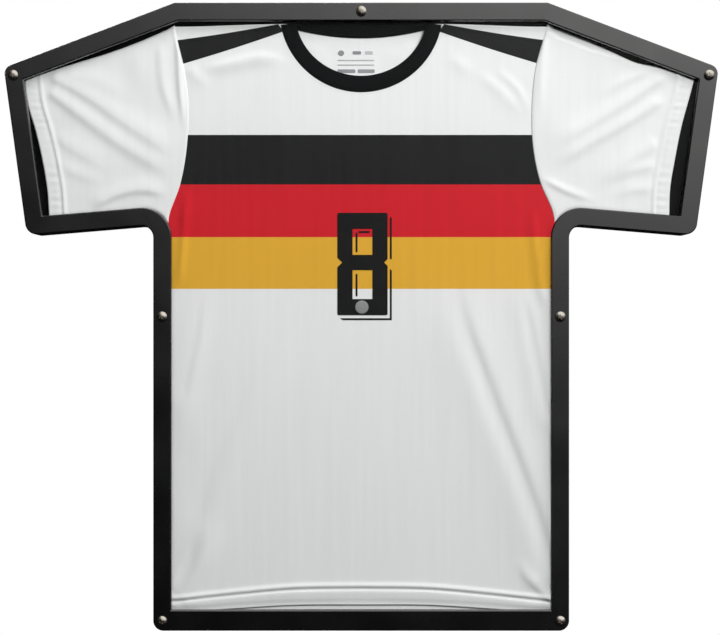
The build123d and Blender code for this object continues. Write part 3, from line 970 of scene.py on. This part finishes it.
def sleeve_surface(side, x, drop):
    """Depth of a sleeve's front at a place on the right-hand side of the frame."""
    x, drop = np.asarray(x, float), np.asarray(drop, float)
    depth = PANEL_FRONT + SLEEVE_LIFT + ripple(x, drop, 0.7, 5 if side == "left" else 8)
    gap = cuff_gap(side, x, drop)
    inward = ramp(gap, CUFF_DEPTH - 2, CUFF_DEPTH + 12)
    for shape in SLEEVE_FOLDS[side]:
        depth = depth + fold(x, drop, *shape) * (0.25 + 0.75 * inward)
    depth = depth + 0.35 * bump(gap - CUFF_DEPTH / 2, 8)
    depth = depth + 1.3 * bump(gap - CUFF_DEPTH + 0.6, 2.1) - 0.3 * bump(gap - CUFF_DEPTH + 4.4, 1.6)
    waves = np.sin(drop * math.tau / 9.7 + 1.9 * np.sin(drop / 23))
    waves = waves + 0.8 * np.sin(drop * math.tau / 14.3 + 1)
    depth = depth + (0.11 + 0.07 * np.sin(drop / 17)) * waves * bump(gap - CUFF_DEPTH / 2, 8)
    if side == "right":
        line = smooth_path(SLEEVE_TOP[side], 60)
        below = drop - np.interp(x, line[:, 0], line[:, 1])
        depth = depth - 1.8 * (1 - ramp(below, -0.8, 0.6)) * (1 - ramp(x, 315, 345))
    return np.minimum(depth, COVER_BACK - COVER_ROOM)


def make_sleeve(side, s):
    """A sleeve lying flat: a folded tube with a hemmed cuff, open at its end."""
    rows, columns = 100, 96
    x, drop, u, v = sleeve_grid(side, rows, columns)
    front = sleeve_surface(side, x, drop)
    from_seam = x - seam_line(side, drop)
    if side == "left":
        roll = 1 - np.sqrt(1 - (1 - np.clip(from_seam / 3.0, 0, 1)) ** 2)
    else:
        roll = 1 - ramp(from_seam, 0, 4.5)
    front = front - roll * (front - PANEL_FRONT - SEAM_LIFT)
    width = np.linalg.norm([x[-1] - x[0], drop[-1] - drop[0]], axis=0)[None, :]
    nearest = np.minimum(v, 1 - v) * width
    curl = np.clip(nearest / EDGE_ROLL, 0, 1)
    round_edge = np.sqrt(1 - (1 - curl) ** 2)
    middle = SLEEVE_MID + (PANEL_FRONT - SLEEVE_MID) * (1 - ramp(u, 0, 0.06))
    front = middle + (front - middle) * round_edge
    back_face = SLEEVE_BACK + 0.2 * np.sin(x / 17) * np.sin(drop / 23)
    back = middle + (back_face - middle) * round_edge
    points = place_all(s * x, drop, front) + place_all(s * x, drop, back)
    faces = grid_faces(rows, columns)
    faces += [face[::-1] for face in grid_faces(rows, columns, rows * columns)]
    if s < 0:
        faces = [face[::-1] for face in faces]
    sleeve = add_piece(f"jersey_sleeve_{side}_cloth", points, faces, [WHITE_KNIT])
    weld = sleeve.modifiers.new("fold_edges", "WELD")
    weld.merge_threshold = 0.00003
    thicken(sleeve, 0.7)
    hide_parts(f"jersey_sleeve_{side}")
    return sleeve


# ================================================================ sewing
def sewing():
    """Stitch rows along the hem, the cuffs and the collar."""
    rows = []
    xs = np.linspace(-240, 240, 120)
    sewn = hem_line(np.abs(xs)) - hem_depth(np.abs(xs))
    for number, below in enumerate((-0.2, 3.0)):
        path = np.stack([xs, sewn + below], axis=1)
        rows.append(stitches(f"hem_stitches_{number + 1}", path, body_surface))
    angles = np.linspace(math.asin(0.22), math.pi - math.asin(0.22), 90)
    size = (COLLAR_OUTER[0] + 2.4, COLLAR_OUTER[1] + 2.4, COLLAR_OUTER[2])
    path = [ellipse_point(size, angle) for angle in angles]
    rows.append(stitches("collar_stitches", path, body_surface))
    for side, s in SIDES:
        drops = np.linspace(108, 268, 60)
        cuff = cuff_edge(side)
        edge = np.interp(drops, cuff[:, 1], cuff[:, 0])

        def on_sleeve(x, drop, side=side):
            return sleeve_surface(side, np.abs(x), drop)

        for number, gap in enumerate((CUFF_DEPTH - 1.8, CUFF_DEPTH - 5.0)):
            path = np.stack([s * (edge - gap / CUFF_SLANT), drops], axis=1)
            rows.append(stitches(f"cuff_stitches_{side}_{number + 1}", path, on_sleeve))
    return rows


# ================================================================ studio
VIEW_DISTANCE = 1.35
VIEW_WIDTH = 0.9195  # metres across the picture at the bezel's face
VIEW_MIDDLE = (-0.0015, 0.4025)  # across, and below the frame's top edge
SENSOR = 36.0


def make_camera():
    """Straight on, a little above the frame's middle, filling the picture with the frame."""
    data = bpy.data.cameras.new("camera")
    data.sensor_width = SENSOR
    data.lens = SENSOR * VIEW_DISTANCE / VIEW_WIDTH
    data.clip_start, data.clip_end = 0.05, 50
    camera = bpy.data.objects.new("camera", data)
    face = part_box("bezel")[0].y
    camera.location = (VIEW_MIDDLE[0], face - VIEW_DISTANCE, TOP - VIEW_MIDDLE[1])
    camera.rotation_euler = (math.pi / 2, 0, 0)
    bpy.context.scene.collection.objects.link(camera)
    bpy.context.scene.camera = camera


def area_light(name, position, target, size, power, colour=(1, 1, 1), glossy=True):
    data = bpy.data.lights.new(name, "AREA")
    data.shape = "RECTANGLE"
    data.size, data.size_y = size
    data.energy = power
    data.color = colour
    light = bpy.data.objects.new(name, data)
    light.location = position
    light.rotation_euler = (Vector(target) - Vector(position)).to_track_quat("-Z", "Y").to_euler()
    light.visible_camera = False
    light.visible_glossy = glossy
    bpy.context.scene.collection.objects.link(light)
    return light


def spare_from_shadow(light, names):
    """Keeps a light from casting the shadows of the named nodes on what is behind them."""
    blockers = bpy.data.collections.new(light.name + "_blockers")
    light.light_linking.blocker_collection = blockers
    for name in names:
        blockers.objects.link(nodes[name])
    for spared in blockers.collection_objects:
        spared.light_linking.link_state = "EXCLUDE"


WARM_WHITE = (1.0, 0.995, 0.985)
SOFTBOX_WAY = Vector((0.374, -0.555, 0.743))
SOFTBOX_PEAK = 1.05
# Degrees off SOFTBOX_WAY and the share of the peak there. The first two are the ends.
SOFTBOX_GLOW = ((90, 0.004), (36, 1.0), (72, 0.01), (61, 0.022), (51, 0.17), (45, 0.44))


def make_lights():
    """A soft key from the upper right, a weak one from the front and one behind for the back."""
    middle = (0.0, 0.0, TOP - 0.4)
    key = area_light("key", (2.0, -2.6, 2.0), middle, (1.1, 1.1), 126, WARM_WHITE, glossy=False)
    fasteners = [kind + spot for kind in ("screw_", "washer_") for spot in PLACES]
    spare_from_shadow(key, ["bezel", *fasteners])
    area_light("front", (0.0, -0.9, 0.75), middle, (0.8, 0.8), 5.2, glossy=False)
    area_light("behind", (-1.1, 2.6, 1.3), middle, (2.2, 1.6), 150)


def make_surround():
    """White where the camera sees it, and a softbox glow from the upper right for the light."""
    world = bpy.data.worlds.new("surround")
    world.use_nodes = True
    tree = world.node_tree
    seen = tree.nodes["Background"]
    seen.inputs["Color"].default_value = (1, 1, 1, 1)
    seen.inputs["Strength"].default_value = 1.0
    soft = tree.nodes.new("ShaderNodeBackground")
    soft.inputs["Color"].default_value = (*WARM_WHITE, 1)
    way = tree.nodes.new("ShaderNodeTexCoord")
    towards = tree.nodes.new("ShaderNodeVectorMath")
    towards.operation = "DOT_PRODUCT"
    tree.links.new(way.outputs["Generated"], towards.inputs[0])
    towards.inputs[1].default_value = SOFTBOX_WAY
    glow = tree.nodes.new("ShaderNodeValToRGB")
    glow.color_ramp.interpolation = "EASE"
    for spot, (angle, level) in zip((0, 1), SOFTBOX_GLOW[:2]):
        glow.color_ramp.elements[spot].position = math.cos(math.radians(angle))
        glow.color_ramp.elements[spot].color = (level, level, level, 1)
    for angle, level in SOFTBOX_GLOW[2:]:
        glow.color_ramp.elements.new(math.cos(math.radians(angle))).color = (level, level, level, 1)
    tree.links.new(towards.outputs["Value"], glow.inputs[0])
    strength = tree.nodes.new("ShaderNodeMath")
    strength.operation = "MULTIPLY"
    strength.inputs[1].default_value = SOFTBOX_PEAK
    tree.links.new(glow.outputs["Color"], strength.inputs[0])
    tree.links.new(strength.outputs[0], soft.inputs["Strength"])
    rays = tree.nodes.new("ShaderNodeLightPath")
    pick = tree.nodes.new("ShaderNodeMixShader")
    tree.links.new(rays.outputs["Is Camera Ray"], pick.inputs[0])
    tree.links.new(soft.outputs[0], pick.inputs[1])
    tree.links.new(seen.outputs[0], pick.inputs[2])
    tree.links.new(pick.outputs[0], tree.nodes["World Output"].inputs["Surface"])
    bpy.context.scene.world = world


def make_floor():
    """A plain pale floor that fades into the surround."""
    reach, around = 2.2, 64
    paint = Shader("floor_paint")
    paint.tint((0.93, 0.93, 0.93, 1), 0.98, 2)
    paint.set(Roughness=0.9, Specular_IOR_Level=0.1)
    away = paint.new("VectorMath")
    away.operation = "LENGTH"
    paint.feed(away, 0, paint.where)
    nothing = paint.new("BsdfTransparent")
    fade = paint.new("MixShader")
    paint.feed(fade, 0, paint.spread(away.outputs["Value"], 0, 1, reach * 0.45, reach))
    paint.feed(fade, 1, paint.surface.outputs["BSDF"])
    paint.feed(fade, 2, nothing.outputs["BSDF"])
    paint.feed(paint.output, "Surface", fade.outputs["Shader"])
    mesh = bpy.data.meshes.new("floor")
    turns = [math.tau * i / around for i in range(around)]
    rim = [(reach * math.cos(a), reach * math.sin(a), 0) for a in turns]
    mesh.from_pydata(rim, [], [tuple(range(around))])
    mesh.materials.append(paint.material)
    floor = bpy.data.objects.new("floor", mesh)
    floor.location.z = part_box("bezel")[0].z - 0.6
    bpy.context.scene.collection.objects.link(floor)
    floor.visible_glossy = False
    floor.visible_diffuse = False


# ================================================================ build
bpy.context.scene.view_settings.view_transform = "Standard"
make_camera()
make_lights()
make_surround()
make_floor()
dress_cad_nodes()
front = make_jersey_front()
back = make_jersey_back()
collar, neck_band = make_front_collar(), make_back_collar()
marks = neck_print()
bands = [make_shoulder_band(side, s) for side, s in SIDES]
digit = make_number()
sleeves = [make_sleeve(side, s) for side, s in SIDES]
threads = sewing()
